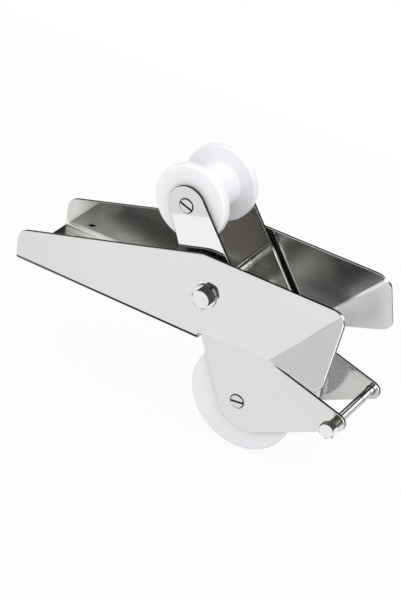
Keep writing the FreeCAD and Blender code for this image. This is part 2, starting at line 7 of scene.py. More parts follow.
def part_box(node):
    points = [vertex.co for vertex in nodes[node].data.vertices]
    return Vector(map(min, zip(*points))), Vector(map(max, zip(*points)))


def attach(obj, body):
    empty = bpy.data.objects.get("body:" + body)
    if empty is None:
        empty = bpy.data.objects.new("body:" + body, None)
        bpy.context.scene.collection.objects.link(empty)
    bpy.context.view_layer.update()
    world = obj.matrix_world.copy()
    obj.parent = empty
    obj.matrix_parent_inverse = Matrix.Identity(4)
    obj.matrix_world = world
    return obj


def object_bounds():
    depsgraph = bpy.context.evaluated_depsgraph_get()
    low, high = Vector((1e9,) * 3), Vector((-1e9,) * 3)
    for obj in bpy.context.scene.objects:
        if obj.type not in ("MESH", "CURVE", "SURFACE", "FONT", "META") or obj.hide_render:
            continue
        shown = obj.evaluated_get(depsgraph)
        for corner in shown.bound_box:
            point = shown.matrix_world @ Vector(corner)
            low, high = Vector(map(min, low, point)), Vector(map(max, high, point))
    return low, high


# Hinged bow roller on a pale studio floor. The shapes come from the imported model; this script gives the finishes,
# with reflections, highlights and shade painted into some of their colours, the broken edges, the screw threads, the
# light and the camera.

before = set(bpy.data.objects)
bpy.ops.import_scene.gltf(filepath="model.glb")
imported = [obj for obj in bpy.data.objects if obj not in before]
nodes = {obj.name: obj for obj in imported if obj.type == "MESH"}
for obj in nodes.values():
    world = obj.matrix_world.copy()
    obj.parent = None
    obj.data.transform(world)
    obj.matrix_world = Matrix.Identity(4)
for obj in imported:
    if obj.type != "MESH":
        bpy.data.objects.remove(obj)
cad_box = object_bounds()

# Lengths are in metres and angles in degrees. A pair of values says where a change of look starts and where it ends.
MM = 0.001

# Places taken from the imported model's own sizes. The fold lines lean back from their foot, given in X and Z
REAR = -58 * MM
WALL_FACE = 40 * MM
PLATE_FACE = 33 * MM
SCREW_FACE = 34 * MM
SCREW_RADIUS = 6 * MM
WASHER_RADIUS = 10.5 * MM
SLOT_HALF = 0.7 * MM
SLOT_TURNS = {"upper": -19, "lower": 8}
FOLD_FOOT = (201 * MM, 10.7 * MM)
FOLD_LEAN = 48.85

# Broken edges of the sheets
EDGE_BREAK = 0.7 * MM
BREAK_STEPS = 2
BREAK_ANGLE = 35
WELD_DISTANCE = 0.01 * MM
FLAT_ANGLE = 0.4

# Threads. A corner of the ridge is given by its height above the bolt and its shift along it in pitches
M8_RADIUS = 4 * MM
M8_PITCH = 1.25 * MM
M10_RADIUS = 5 * MM
M10_PITCH = 1.5 * MM
THREAD_STEPS = 32
THREAD_FOOT = 0.02 * MM
THREAD_CREST = 0.28 * MM
THREAD_SECTION = ((THREAD_FOOT, -0.5), (THREAD_FOOT, -0.3), (THREAD_CREST, -0.05),
                  (THREAD_CREST, 0.05), (THREAD_FOOT, 0.3), (THREAD_FOOT, 0.5))
RETAINING_THREAD = (-41.6 * MM, -33.7 * MM)
PIVOT_THREAD = (52.8 * MM, 53.3 * MM)

# Any sheet: colours and roughness. Rows of four hold the value where a noise is low, the value where it is high, and
# what counts as low and as high
# Dark of the cut edges: their own duller cut, with a painted reflection of dark surroundings on top
CUT_EDGE_AND_REFLECTION = (0.012, 0.012, 0.011)
# Painted highlight on the broken edges
EDGE_HIGHLIGHT = (0.96, 0.96, 0.95)
DUST = (0.45, 0.44, 0.42)
DUST_SHARES = (0.0, 0.05, 0.4, 0.7)
# Painted shade ring round the pivot's washer and round the screws
PAINTED_SHADE_RING = (0.05, 0.05, 0.05)
CUT_ROUGHNESS = 0.25
HAZE_ROUGHNESS = (-0.01, 0.02, 0.3, 0.7)
GRAIN_ROUGHNESS = (0.0, 0.02, 0.45, 0.8)
SMEAR_ROUGHNESS = (0.0, 0.02, 0.5, 0.8)

# Any sheet: scales of the noise, strength and depth of the bumps, and masks by the surface's normal: by its share
# across the channel, by its share upwards, or by how much more it points forward than up
NOISE_ROUGHNESS = 0.55
GRAIN_ACROSS = 700.0
GRAIN_ALONG = 9.0
HAZE_SCALE = 12.0
WAVE_SCALE = 8.0
SMEAR_SCALE = (30.0, 30.0, 9.0)
WAVE_BUMP = (0.06, 0.4 * MM)
GRAIN_BUMP = (0.004, 0.02 * MM)
CUTS_ACROSS = ((-0.66, -0.52), (0.66, 0.80))
HIGHLIGHT_ACROSS = ((-0.84, -0.78), (-0.62, -0.52))
HIGHLIGHT_UP = (0.15, 0.3)
WING_EDGE_ACROSS = ((-0.66, -0.56), (-0.35, -0.25))
FORWARD = (-0.3, 0.0)
FAR_SIDE = (0.0, 1 * MM)

# Channel: colours. Those inside paint reflections and shade into the steel, darker and paler by place
OUTSIDE_REAR = (0.73, 0.73, 0.72)
OUTSIDE_FRONT = (0.785, 0.785, 0.775)
WALL_END = (0.68, 0.67, 0.65)
WALL_REAR = (0.33, 0.325, 0.31)
WALL_MIDDLE = (0.60, 0.59, 0.57)
WALL_BY_FOLD = (0.27, 0.265, 0.255)
BOTTOM_REAR = (0.36, 0.35, 0.33)
BOTTOM_MIDDLE = (0.85, 0.84, 0.82)
INNER_BEND = (0.97, 0.97, 0.96)
WING_INSIDE = (0.82, 0.81, 0.80)

# Channel: places in X, heights in Z, the place in Y of the painted dark reflection along the lower bends, and
# distances ahead of the fold lines
WALL_END_FADES = (-52 * MM, -26 * MM)
WALL_HAZES = (-26 * MM, -16 * MM)
WALL_PALES = (-22 * MM, 30 * MM)
BOTTOM_PALES = (REAR, REAR + 30 * MM)
OUTSIDE_PALES = (REAR, 30 * MM)
NOSE_STARTS = (110 * MM, 130 * MM)
BEND_STARTS = (3.1 * MM, 3.6 * MM)
WALL_STARTS = (6 * MM, 9 * MM)
CUT_STARTS = (5.5 * MM, 6.5 * MM)
BEND_REFLECTION_ENDS = (4.4 * MM, 4.9 * MM)
BEND_REFLECTION_STARTS = (WALL_FACE - 2.8 * MM, WALL_FACE - 2.4 * MM)
FOLD_DARKENS = (-45 * MM, -12 * MM)
WING_STARTS = (-2 * MM, 1 * MM)
WING_EDGE_STARTS = (3 * MM, 4 * MM)
CUT_OFF_FOLD = (2.6 * MM, 3 * MM)

# Channel: grey, start and end of each painted line along the folds, roughness, and how much lighter painted
# reflection makes some of the cut edges
FOLD_LINES = ((0.30, -3.6 * MM, -2.2 * MM), (1.0, -1.4 * MM, 0.6 * MM))
FOLD_LINE_BLUR = 0.4 * MM
WASHER_OUTLINE = ((WASHER_RADIUS - 0.2 * MM, WASHER_RADIUS), (WASHER_RADIUS + 0.3 * MM, WASHER_RADIUS + 0.8 * MM))
WASHER_OUTLINE_SHARE = 0.75
OUTSIDE_ROUGHNESS = 0.06
WALL_END_ROUGHNESS = 0.06
WALL_ROUGHNESS = (0.04, 0.18)
BOTTOM_ROUGHNESS = 0.20
WING_ROUGHNESS = 0.32
NEAR_FRONT_LIGHT = 0.35
FAR_NOSE_LIGHT = 0.4
WING_EDGE_DARK = 0.6

# Cradle plates. The slope is the direction, in X and Z, from the leg up to the head, which ends at a line across it;
# other places are heights in Z
# Plate colours are painted reflections: grey on the head, brightest on the leg next to it, darker inside and paler low
# down inside
HEAD_REFLECTION_GREY = (0.765, 0.755, 0.74)
LEG_LOW = (0.75, 0.75, 0.74)
LEG_TOP = (0.91, 0.91, 0.905)
PLATE_INSIDE = (0.46, 0.45, 0.43)
PLATE_INSIDE_LOW = (0.58, 0.57, 0.555)
HEAD_SLOPE = (-0.29, 0.957)
HEAD_ENDS = (-8.8 * MM, -8.0 * MM)
LEG_BRIGHTENS = (-90 * MM, -40 * MM)
INSIDE_DARKENS = (-20 * MM, 0.0)
SCREW_OUTLINE_ENDS = (SCREW_RADIUS + 0.8 * MM, SCREW_RADIUS + 1.3 * MM)
NEAR_EDGE_DARKENS = 36 * MM
FAR_EDGE_DARKENS = 66 * MM
EDGE_DARKENS_OVER = 6 * MM
LOW_EDGE_DARKENS = (10 * MM, 20 * MM)
HEAD_ROUGHNESS = 0.26
LEG_ROUGHNESS = 0.06
INSIDE_ROUGHNESS = 0.10
INSIDE_LOW_ROUGHNESS = 0.07

# Fasteners: colours, greys of painted reflection on the flats that face up on a head or a nut, share of metal in the
# pivot's shank, and the turned skin
BOLT_STEEL = (0.90, 0.90, 0.89)
PIVOT_STEEL = (0.86, 0.86, 0.85)
RETAINING_STEEL = (0.88, 0.88, 0.87)
SCREW_STEEL = (0.74, 0.74, 0.73)
# Dark thread: painted shade between the ridges
THREAD_STEEL = (0.13, 0.115, 0.095)
# Painted shade in the screws' slots
SLOT_SHADE = (0.03, 0.03, 0.03)
# Painted dark reflection on rods and chamfers
PAINTED_REFLECTION_DARK = (0.04, 0.04, 0.04)
# Greys of painted reflection on flats that face up
NUT_SIDES = 0.6
PIVOT_SIDES = 0.06
RETAINING_SIDES = 0.05
PIVOT_SHANK = 0.45
BLOTCH_SCALE = 90.0
BLOTCH_SHADE = 0.92
BLOTCH_ROUGHNESS = (0.05, 0.11, 0.3, 0.75)
TURNED_SCALE = 700.0
TURNED_BUMP = (0.06, 0.05 * MM)

# Fasteners: places in Y, distances from a slot's middle line, masks by the normal's share across the channel or
# upwards, and the dark streaks and rings of painted reflection on a polished rod, by the turn of its skin and by
# places in Y
SLOT_SUNK = (SCREW_FACE - 0.35 * MM, SCREW_FACE - 0.25 * MM)
SLOT_LIPS = (SLOT_HALF + 0.25 * MM, SLOT_HALF + 0.4 * MM)
HEAD_STARTS = (WALL_FACE + 0.4 * MM, WALL_FACE + 0.5 * MM)
FLATS_ACROSS = (0.1, 0.2)
FLATS_UP = (0.1, 0.4)
CHAMFER_ACROSS = ((0.1, 0.2), (0.93, 0.97))
ROD_ENDS = (PLATE_FACE - 3.5 * MM, PLATE_FACE - 3 * MM)
ROD_TURN = (0.803, -0.596)
ROD_STREAKS = ((-1.0, -0.78), (-0.52, -0.22), (0.52, 0.58), (0.84, 1.0))
STREAK_OUTER_BLUR = 0.06
STREAK_INNER_BLUR = 0.02
ROD_RINGS = (10.5 * MM, 23.5 * MM)
RING_SHARES = (0.8, 0.0, 0.3 * MM, 0.6 * MM)

# Nylon
ROLLER_NYLON = (0.86, 0.87, 0.89)
WASHER_NYLON = (0.84, 0.84, 0.80)
MOTTLE_SCALE = 60.0
MOTTLE_SHADE = 0.98
MOTTLE_ROUGHNESS = (0.34, 0.48, 0.3, 0.75)
SKIN_SCALE = 1400.0
SKIN_BUMP = (0.08, 0.03 * MM)
TURNING_PITCH = 0.5 * MM
TURNING_BUMP = (0.08, 0.01 * MM)

# Studio floor. Its shades are seen by polished steel only, and hold the place across and along the floor, the half
# length and half width, the level in the middle, and the share of the way out where they start to clear
STAGE_SIZE = 1.3
STAGE_Y = -0.1
STAGE_GAP = 0.2 * MM
STAGE_GREY = 0.7
STAGE_ROUGHNESS = 0.9
STAGE_SEEN = 0.94
STAGE_MIRRORED = 0.96
SHADES = ((140 * MM, 0.0, 240 * MM, 115 * MM, 0.45, 0.3), (-24 * MM, -231 * MM, 24 * MM, 24 * MM, 0.0, 0.75))

# Lamp, by its direction from the camera's aim
LAMP_FROM = (0.60, -0.20, 0.77)
LAMP_DISTANCE = 1.2
LAMP_SIZE = 0.8
LAMP_POWER = 2.2

# World. A ramp holds greys by height, from straight down at 0 to straight up at 1; the bank at the right has a top
# and a level at the rear and at the front; a softbox holds its direction, the cosines of its edge and of its core,
# and its level
FRONT_RAMP = ((0.0, 0.5), (0.40, 0.55), (0.68, 0.55), (0.76, 0.1), (0.82, 0.1), (0.88, 1.0))
REAR_RAMP = ((0.0, 0.7), (0.30, 0.7), (0.42, 0.5), (0.70, 0.45), (0.88, 0.1), (0.96, 1.0))
ROOM_RAMP = ((0.0, 0.35), (0.5, 0.48), (1.0, 1.15))
ROOM_FRONT = 1.28
ROOM_FRONT_SHARE = 0.72
FRONT_ENDS = (-0.25, 0.25)
RIGHT_STARTS = (0.2, 0.4)
RIGHT_FOOT = (-0.07, 0.0)
RIGHT_TOPS = (0.30, 0.70)
RIGHT_TOP_BLUR = 0.1
RIGHT_LEVELS = (1.0, 2.6)
LEFT_ENDS = (-0.75, -0.5)
LEFT_HEIGHT = -0.05
LEFT_HALF_HEIGHT = (0.25, 0.35)
LEFT_LEVEL = 0.73
SOFTBOXES = (((-0.42, -0.74, 0.52), 0.86, 0.97, 0.85), ((0.36, 0.75, 0.56), 0.90, 0.96, 1.2),
             ((-0.38, 0.75, 0.54), 0.93, 0.97, 0.03), ((0.65, 0.75, -0.30), 0.94, 0.975, 0.03))

# Camera
CAMERA_AIM = Vector((120.65, -19.46, 24.76)) * MM
CAMERA_DISTANCE = 1709 * MM
CAMERA_AZIMUTH = 27.58
CAMERA_ELEVATION = 31.96
CAMERA_ROLL = 8.30
CAMERA_RANGE = (0.1, 50)
IMAGE_HEIGHT = 601
FOCAL_PIXELS = 2000
SENSOR = 36.0


def middle(node):
    low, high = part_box(node)
    return (low + high) / 2


def new_material(name):
    """An empty node material, and its Principled shader."""
    material = bpy.data.materials.new(name)
    material.use_nodes = True
    return material, material.node_tree.nodes["Principled BSDF"]


def add_node(tree, kind, inputs=None, **settings):
    """Add a node; inputs maps a socket to a value or to another node's output."""
    node = tree.nodes.new(kind)
    for key, value in settings.items():
        setattr(node, key, value)
    for key, value in (inputs or {}).items():
        if isinstance(value, bpy.types.NodeSocket):
            tree.links.new(value, node.inputs[key])
        else:
            node.inputs[key].default_value = value
    return node


def calculate(tree, operation, *values):
    return add_node(tree, "ShaderNodeMath", dict(enumerate(values)), operation=operation).outputs["Value"]


def product(tree, first, *others):
    for other in others:
        first = calculate(tree, "MULTIPLY", first, other)
    return first


def largest(tree, first, *others):
    for other in others:
        first = calculate(tree, "MAXIMUM", first, other)
    return first


def noise(tree, place, scale, detail=3.0):
    inputs = {"Vector": place, "Scale": scale, "Detail": detail, "Roughness": NOISE_ROUGHNESS}
    return add_node(tree, "ShaderNodeTexNoise", inputs).outputs["Fac"]


def spread(tree, value, low, high, start=0.0, end=1.0, smooth=False):
    """Map a value from start..end to low..high, and hold it there beyond."""
    node = add_node(tree, "ShaderNodeMapRange",
                    {"Value": value, "From Min": start, "From Max": end, "To Min": low, "To Max": high},
                    interpolation_type="SMOOTHSTEP" if smooth else "LINEAR")
    return node.outputs["Result"]


def rise(tree, value, start, end, smooth=False):
    """0 before the start, 1 beyond the end."""
    return spread(tree, value, 0.0, 1.0, start, end, smooth)


def fall(tree, value, start, end, smooth=False):
    """1 before the start, 0 beyond the end."""
    return spread(tree, value, 1.0, 0.0, start, end, smooth)


def band(tree, value, rising, falling, smooth=False):
    """1 between a rising and a falling slope, each given by its start and its end, and 0 outside them."""
    return product(tree, rise(tree, value, *rising, smooth), fall(tree, value, *falling, smooth))


def stretch(tree, place, scale):
    """Scale a place differently along each axis."""
    return add_node(tree, "ShaderNodeMapping", {"Vector": place, "Scale": scale}).outputs["Vector"]


def bump(tree, height, strength, distance, normal=None):
    inputs = {"Height": height, "Strength": strength, "Distance": distance}
    if normal is not None:
        inputs["Normal"] = normal
    return add_node(tree, "ShaderNodeBump", inputs).outputs["Normal"]


def grey(level):
    return (level, level, level)


def mix_colours(tree, factor, first, second):
    """From the first colour at 0 to the second at 1; each is three channels or a node's output."""
    node = add_node(tree, "ShaderNodeMix", {"Factor": factor}, data_type="RGBA")
    for socket, colour in (("A", first), ("B", second)):
        if isinstance(colour, bpy.types.NodeSocket):
            tree.links.new(colour, node.inputs[socket])
        else:
            node.inputs[socket].default_value = (*colour, 1)
    return node.outputs["Result"]


def mix_values(tree, factor, first, second):
    return add_node(tree, "ShaderNodeMix", {"Factor": factor, "A": first, "B": second}).outputs["Result"]


def coordinate(tree, kind):
    return add_node(tree, "ShaderNodeTexCoord").outputs[kind]


def split(tree, vector):
    node = add_node(tree, "ShaderNodeSeparateXYZ", {"Vector": vector})
    return node.outputs["X"], node.outputs["Y"], node.outputs["Z"]


def length(tree, vector):
    return add_node(tree, "ShaderNodeVectorMath", {0: vector}, operation="LENGTH").outputs["Value"]


def reach_along(tree, x, z, origin, direction):
    """How far a place in X and Z lies from an origin, measured in a direction."""
    return calculate(tree, "ADD", product(tree, calculate(tree, "SUBTRACT", x, origin[0]), direction[0]),
                     product(tree, calculate(tree, "SUBTRACT", z, origin[1]), direction[1]))


def distance_from(tree, x, z, node):
    """Distance in X and Z from the middle of a CAD node that lies across the channel."""
    centre = middle(node)
    return calculate(tree, "SQRT", calculate(tree, "ADD", *[
        calculate(tree, "POWER", calculate(tree, "SUBTRACT", value, start), 2.0)
        for value, start in ((x, centre.x), (z, centre.z))]))


def beyond_fold(tree, x, z):
    """Distance ahead of the channel's slanted fold lines."""
    lean = math.radians(FOLD_LEAN)
    return reach_along(tree, x, z, FOLD_FOOT, (math.sin(lean), -math.cos(lean)))


def faces_of(tree, place):
    """Masks over a folded or cut sheet.

    They are its outward faces, its cut edges, and the broken edge along the top of each cut on the near side, which
    takes a painted highlight.
    """
    y = split(tree, place)[1]
    _, across, up = split(tree, coordinate(tree, "Normal"))
    outward = calculate(tree, "GREATER_THAN", product(tree, y, across), 0.0)
    narrow = band(tree, across, *CUTS_ACROSS, smooth=True)
    highlight = product(tree, rise(tree, up, *HIGHLIGHT_UP), band(tree, across, *HIGHLIGHT_ACROSS))
    return outward, narrow, highlight


def sheet_steel(name, grain_axis, find_edge, finish):
    """Polished sheet; find_edge tells where its edges are dark, with painted reflection, and where they take a painted
    highlight, and finish how its faces look.
    """
    material, shader = new_material(name)
    tree = material.node_tree
    place = coordinate(tree, "Object")
    outward, narrow, highlight = faces_of(tree, place)
    edge, highlight = find_edge(tree, place, narrow, highlight)
    grain_scale = [GRAIN_ACROSS] * 3
    grain_scale[grain_axis] = GRAIN_ALONG
    grain = noise(tree, stretch(tree, place, grain_scale), 1.0, detail=4.0)
    haze = noise(tree, place, HAZE_SCALE, detail=4.0)
    waves = noise(tree, place, WAVE_SCALE, detail=1.0)
    smear = noise(tree, stretch(tree, place, SMEAR_SCALE), 1.0, detail=5.0)

    colour, rough = finish(tree, place, outward)
    for texture, slope in ((haze, HAZE_ROUGHNESS), (grain, GRAIN_ROUGHNESS), (smear, SMEAR_ROUGHNESS)):
        rough = calculate(tree, "ADD", rough, spread(tree, texture, *slope))
    tree.links.new(largest(tree, rough, spread(tree, edge, 0.0, CUT_ROUGHNESS)), shader.inputs["Roughness"])

    colour = mix_colours(tree, spread(tree, haze, *DUST_SHARES), colour, DUST)
    colour = mix_colours(tree, highlight, colour, EDGE_HIGHLIGHT)
    colour = mix_colours(tree, edge, colour, CUT_EDGE_AND_REFLECTION)
    tree.links.new(colour, shader.inputs["Base Color"])
    normal = bump(tree, waves, *WAVE_BUMP)
    tree.links.new(bump(tree, grain, *GRAIN_BUMP, normal), shader.inputs["Normal"])
    shader.inputs["Metallic"].default_value = 1.0
    return material


def channel_finish(tree, place, outward):
    """Satin outside with a painted shade line round the pivot's washer, and four looks inside whose colours are
    painted reflections and shade.

    They are bright ends at the rear, walls painted darker towards the rear and the folds and hazier away from the
    rear, a bottom painted darker towards the rear between painted highlights on the bends, and pale wings with a
    painted dark line and a painted highlight along the folds.
    """
    x, _, z = split(tree, place)
    past_fold = beyond_fold(tree, x, z)
    wing = rise(tree, past_fold, *WING_STARTS, smooth=True)
    wall = rise(tree, z, *WALL_STARTS)
    past_end = product(tree, rise(tree, x, *WALL_END_FADES, smooth=True), wall, calculate(tree, "SUBTRACT", 1.0, wing))

    # Painted shade: the walls darken towards the rear and the folds
    skin = mix_colours(tree, rise(tree, x, *WALL_PALES, smooth=True), WALL_REAR, WALL_MIDDLE)
    skin = mix_colours(tree, rise(tree, past_fold, *FOLD_DARKENS, smooth=True), skin, WALL_BY_FOLD)
    walls = mix_colours(tree, past_end, WALL_END, skin)
    # Painted shade towards the rear of the bottom, and painted highlights on the bends
    bottom = mix_colours(tree, rise(tree, x, *BOTTOM_PALES), BOTTOM_REAR, BOTTOM_MIDDLE)
    bottom = mix_colours(tree, rise(tree, z, *BEND_STARTS), bottom, INNER_BEND)
    inner = mix_colours(tree, wall, bottom, walls)
    inner = mix_colours(tree, wing, inner, WING_INSIDE)
    # Painted dark line and painted highlight along the folds
    for level, start, end in FOLD_LINES:
        line = band(tree, past_fold, (start - FOLD_LINE_BLUR, start), (end, end + FOLD_LINE_BLUR))
        inner = mix_colours(tree, line, inner, grey(level))

    outer = mix_colours(tree, rise(tree, x, *OUTSIDE_PALES), OUTSIDE_REAR, OUTSIDE_FRONT)
    # Painted shade ring round the pivot's washer
    away = distance_from(tree, x, z, "pivot_bolt")
    outline = product(tree, band(tree, away, *WASHER_OUTLINE), WASHER_OUTLINE_SHARE)
    outer = mix_colours(tree, outline, outer, PAINTED_SHADE_RING)
    colour = mix_colours(tree, outward, inner, outer)

    rough = mix_values(tree, past_end, WALL_END_ROUGHNESS, spread(tree, x, *WALL_ROUGHNESS, *WALL_HAZES))
    rough = mix_values(tree, wall, BOTTOM_ROUGHNESS, rough)
    rough = mix_values(tree, wing, rough, WING_ROUGHNESS)
    return colour, mix_values(tree, outward, rough, OUTSIDE_ROUGHNESS)


def channel_edge(tree, place, narrow, highlight):
    """Cut edges of the channel, away from its folds, dark: their own duller cut with a painted reflection of dark
    surroundings; and a painted dark reflection along the lower bends.

    Cuts on the near side are painted lighter where they face forward, cuts round the far nose where they don't, and
    the front of the near wing's rim is painted half dark: all three are painted reflections.
    """
    x, y, z = split(tree, place)
    along, across, up = split(tree, coordinate(tree, "Normal"))
    past_fold = beyond_fold(tree, x, z)
    forward = rise(tree, calculate(tree, "SUBTRACT", along, up), *FORWARD)
    # Painted reflection: near cuts lighter where they face forward, cuts round the far nose where they don't
    nose_light = product(tree, rise(tree, x, *NOSE_STARTS), spread(tree, forward, FAR_NOSE_LIGHT, 0.0))
    light = mix_values(tree, rise(tree, y, *FAR_SIDE), product(tree, forward, NEAR_FRONT_LIGHT), nose_light)
    off_fold = rise(tree, calculate(tree, "ABSOLUTE", past_fold), *CUT_OFF_FOLD)
    cut = product(tree, narrow, rise(tree, z, *CUT_STARTS), calculate(tree, "SUBTRACT", 1.0, light), off_fold)
    # Painted reflection: the front of the near wing's rim half dark
    wing_edge = product(tree, spread(tree, past_fold, 0.0, WING_EDGE_DARK, *WING_EDGE_STARTS),
                        band(tree, across, *WING_EDGE_ACROSS))
    # Painted dark reflection of the shadowed floor below, along the lower bends
    bend_reflection = product(tree, rise(tree, calculate(tree, "ABSOLUTE", y), *BEND_REFLECTION_STARTS), fall(tree, z, *BEND_REFLECTION_ENDS))
    return largest(tree, cut, wing_edge, bend_reflection), highlight


def plate_finish(tree, place, outward):
    """Satin head that ends at a line below the axle, a leg brightest next to it, and an inside, with painted colours:
    a grey reflection on the head, a bright reflection on the leg, a darker one inside, and painted shade round the
    screws.
    """
    x, _, z = split(tree, place)
    head = middle("upper_axle")
    from_head = reach_along(tree, x, z, (head.x, head.z), HEAD_SLOPE)
    below = fall(tree, from_head, *HEAD_ENDS)
    leg = mix_colours(tree, rise(tree, from_head, *LEG_BRIGHTENS, smooth=True), LEG_LOW, LEG_TOP)
    outer = mix_colours(tree, below, HEAD_REFLECTION_GREY, leg)
    # Painted shade rings round the screws
    for axle in ("upper_axle", "lower_axle"):
        outline = fall(tree, distance_from(tree, x, z, axle), *SCREW_OUTLINE_ENDS)
        outer = mix_colours(tree, outline, outer, PAINTED_SHADE_RING)
    low = fall(tree, z, *INSIDE_DARKENS)
    inner = mix_colours(tree, low, PLATE_INSIDE, PLATE_INSIDE_LOW)
    rough = mix_values(tree, outward, mix_values(tree, low, INSIDE_ROUGHNESS, INSIDE_LOW_ROUGHNESS),
                       mix_values(tree, below, HEAD_ROUGHNESS, LEG_ROUGHNESS))
    return mix_colours(tree, outward, inner, outer), rough


def plate_edge(tree, place, narrow, highlight):
    """Cut edges of the plates: dark round the head and down by the lower roller, their own duller cut with a painted
    reflection, and a painted highlight in between.
    """
    _, y, z = split(tree, place)
    # Painted reflection: edges dark above this height, painted highlight below it
    height = mix_values(tree, rise(tree, y, *FAR_SIDE), NEAR_EDGE_DARKENS, FAR_EDGE_DARKENS)
    above = rise(tree, calculate(tree, "SUBTRACT", z, height), 0.0, EDGE_DARKENS_OVER)
    cut = product(tree, narrow, largest(tree, above, fall(tree, z, *LOW_EDGE_DARKENS)))
    cut = largest(tree, cut, product(tree, highlight, above))
    return cut, product(tree, highlight, calculate(tree, "SUBTRACT", 1.0, above))


def shade_slot(tree, place, tone, centre, turn):
    """Painted shade in a screw's slot and on its lips; the slot is given by its centre and its turn."""
    x, y, z = split(tree, place)
    sunk = fall(tree, calculate(tree, "ABSOLUTE", y), *SLOT_SUNK)
    beside = reach_along(tree, x, z, (centre.x, centre.z), (math.sin(turn), -math.cos(turn)))
    lips = fall(tree, calculate(tree, "ABSOLUTE", beside), *SLOT_LIPS)
    return mix_colours(tree, largest(tree, sunk, lips), tone, SLOT_SHADE)


def shade_rod(tree, y, along, up, rod, tone):
    """Painted reflections: dark streaks along a bolt's rod inside the sheets, and dark rings round it."""
    turned = reach_along(tree, along, up, (0.0, 0.0), ROD_TURN)
    for start, end in ROD_STREAKS:
        streak = band(tree, turned, (start - STREAK_OUTER_BLUR, start + STREAK_INNER_BLUR),
                      (end - STREAK_INNER_BLUR, end + STREAK_OUTER_BLUR))
        tone = mix_colours(tree, product(tree, streak, rod), tone, PAINTED_REFLECTION_DARK)
    for ring in ROD_RINGS:
        beside = calculate(tree, "ABSOLUTE", calculate(tree, "SUBTRACT", y, ring))
        tone = mix_colours(tree, spread(tree, beside, *RING_SHARES), tone, PAINTED_REFLECTION_DARK)
    return tone


def shade_head(tree, outside, across, up, sides, tone):
    """Painted reflections: grey flats that face up and dark chamfers, on a head or a nut outside the sheets."""
    flats = product(tree, outside, fall(tree, across, *FLATS_ACROSS), rise(tree, up, *FLATS_UP))
    chamfer = product(tree, outside, band(tree, across, *CHAMFER_ACROSS))
    tone = mix_colours(tree, flats, tone, grey(sides))
    return mix_colours(tree, chamfer, tone, PAINTED_REFLECTION_DARK)


def fastener_steel(name, colour, slot=None, sides=None, shank=1.0):
    """Bright steel with a turned skin: a screw with painted shade in its slot, or a bolt or nut with painted
    reflections on its sides and rod.

    Shank is how metallic a bolt's rod is between the plates.
    """
    material, shader = new_material(name)
    tree = material.node_tree
    place = coordinate(tree, "Object")
    blotch = noise(tree, place, BLOTCH_SCALE)
    tone = mix_colours(tree, blotch, [channel * BLOTCH_SHADE for channel in colour], colour)
    shader.inputs["Metallic"].default_value = 1.0
    if slot is not None:
        tone = shade_slot(tree, place, tone, *slot)
    if sides is not None:
        y = split(tree, place)[1]
        apart = calculate(tree, "ABSOLUTE", y)
        along, across, up = split(tree, coordinate(tree, "Normal"))
        rod = fall(tree, apart, *ROD_ENDS)
        tone = shade_rod(tree, y, along, up, rod, tone)
        tone = shade_head(tree, rise(tree, apart, *HEAD_STARTS), calculate(tree, "ABSOLUTE", across), up, sides, tone)
        if shank < 1.0:
            tree.links.new(spread(tree, rod, 1.0, shank), shader.inputs["Metallic"])
    tree.links.new(tone, shader.inputs["Base Color"])
    tree.links.new(spread(tree, blotch, *BLOTCH_ROUGHNESS), shader.inputs["Roughness"])
    tree.links.new(bump(tree, noise(tree, place, TURNED_SCALE), *TURNED_BUMP), shader.inputs["Normal"])
    return material


def turned_nylon(name, colour, centre):
    """White nylon turned on a lathe: rings round its axle, a soft mottle and a satin skin."""
    material, shader = new_material(name)
    tree = material.node_tree
    place = coordinate(tree, "Object")
    offset = add_node(tree, "ShaderNodeVectorMath", {0: place, 1: centre}, operation="SUBTRACT").outputs["Vector"]
    flat = add_node(tree, "ShaderNodeVectorMath", {0: offset, 1: (1, 0, 1)}, operation="MULTIPLY").outputs["Vector"]
    travel = calculate(tree, "ADD", length(tree, flat), split(tree, offset)[1])
    rings = calculate(tree, "SINE", product(tree, travel, 2 * math.pi / TURNING_PITCH))
    mottle = noise(tree, place, MOTTLE_SCALE, detail=4.0)
    skin = noise(tree, place, SKIN_SCALE, detail=2.0)
    shaded = mix_colours(tree, mottle, [channel * MOTTLE_SHADE for channel in colour], colour)
    tree.links.new(shaded, shader.inputs["Base Color"])
    tree.links.new(spread(tree, mottle, *MOTTLE_ROUGHNESS), shader.inputs["Roughness"])
    normal = bump(tree, rings, *TURNING_BUMP)
    tree.links.new(bump(tree, skin, *SKIN_BUMP, normal), shader.inputs["Normal"])
    return material


def dress(names, material):
    """Give CAD nodes a material."""
    for name in names:
        mesh = nodes[name].data
        mesh.materials.clear()
        mesh.materials.append(material)


def break_edges(names):
    """Round the sharp edges slightly, as deburring leaves them."""
    for name in names:
        weld = nodes[name].modifiers.new("weld", "WELD")
        weld.merge_threshold = WELD_DISTANCE
        flat = nodes[name].modifiers.new("flat", "DECIMATE")
        flat.decimate_type = "DISSOLVE"
        flat.angle_limit = math.radians(FLAT_ANGLE)
        bevel = nodes[name].modifiers.new("broken_edges", "BEVEL")
        bevel.width = EDGE_BREAK
        bevel.segments = BREAK_STEPS
        bevel.harden_normals = True
        bevel.limit_method = "ANGLE"
        bevel.angle_limit = math.radians(BREAK_ANGLE)
        bevel.use_clamp_overlap = False


def show(name, data):
    """Put an object with this data into the scene."""
    shown = bpy.data.objects.new(name, data)
    bpy.context.scene.collection.objects.link(shown)
    return shown


def finished_mesh(name, mesh, material):
    """The mesh as data with its material."""
    data = bpy.data.meshes.new(name)
    mesh.to_mesh(data)
    mesh.free()
    data.materials.append(material)
    return data


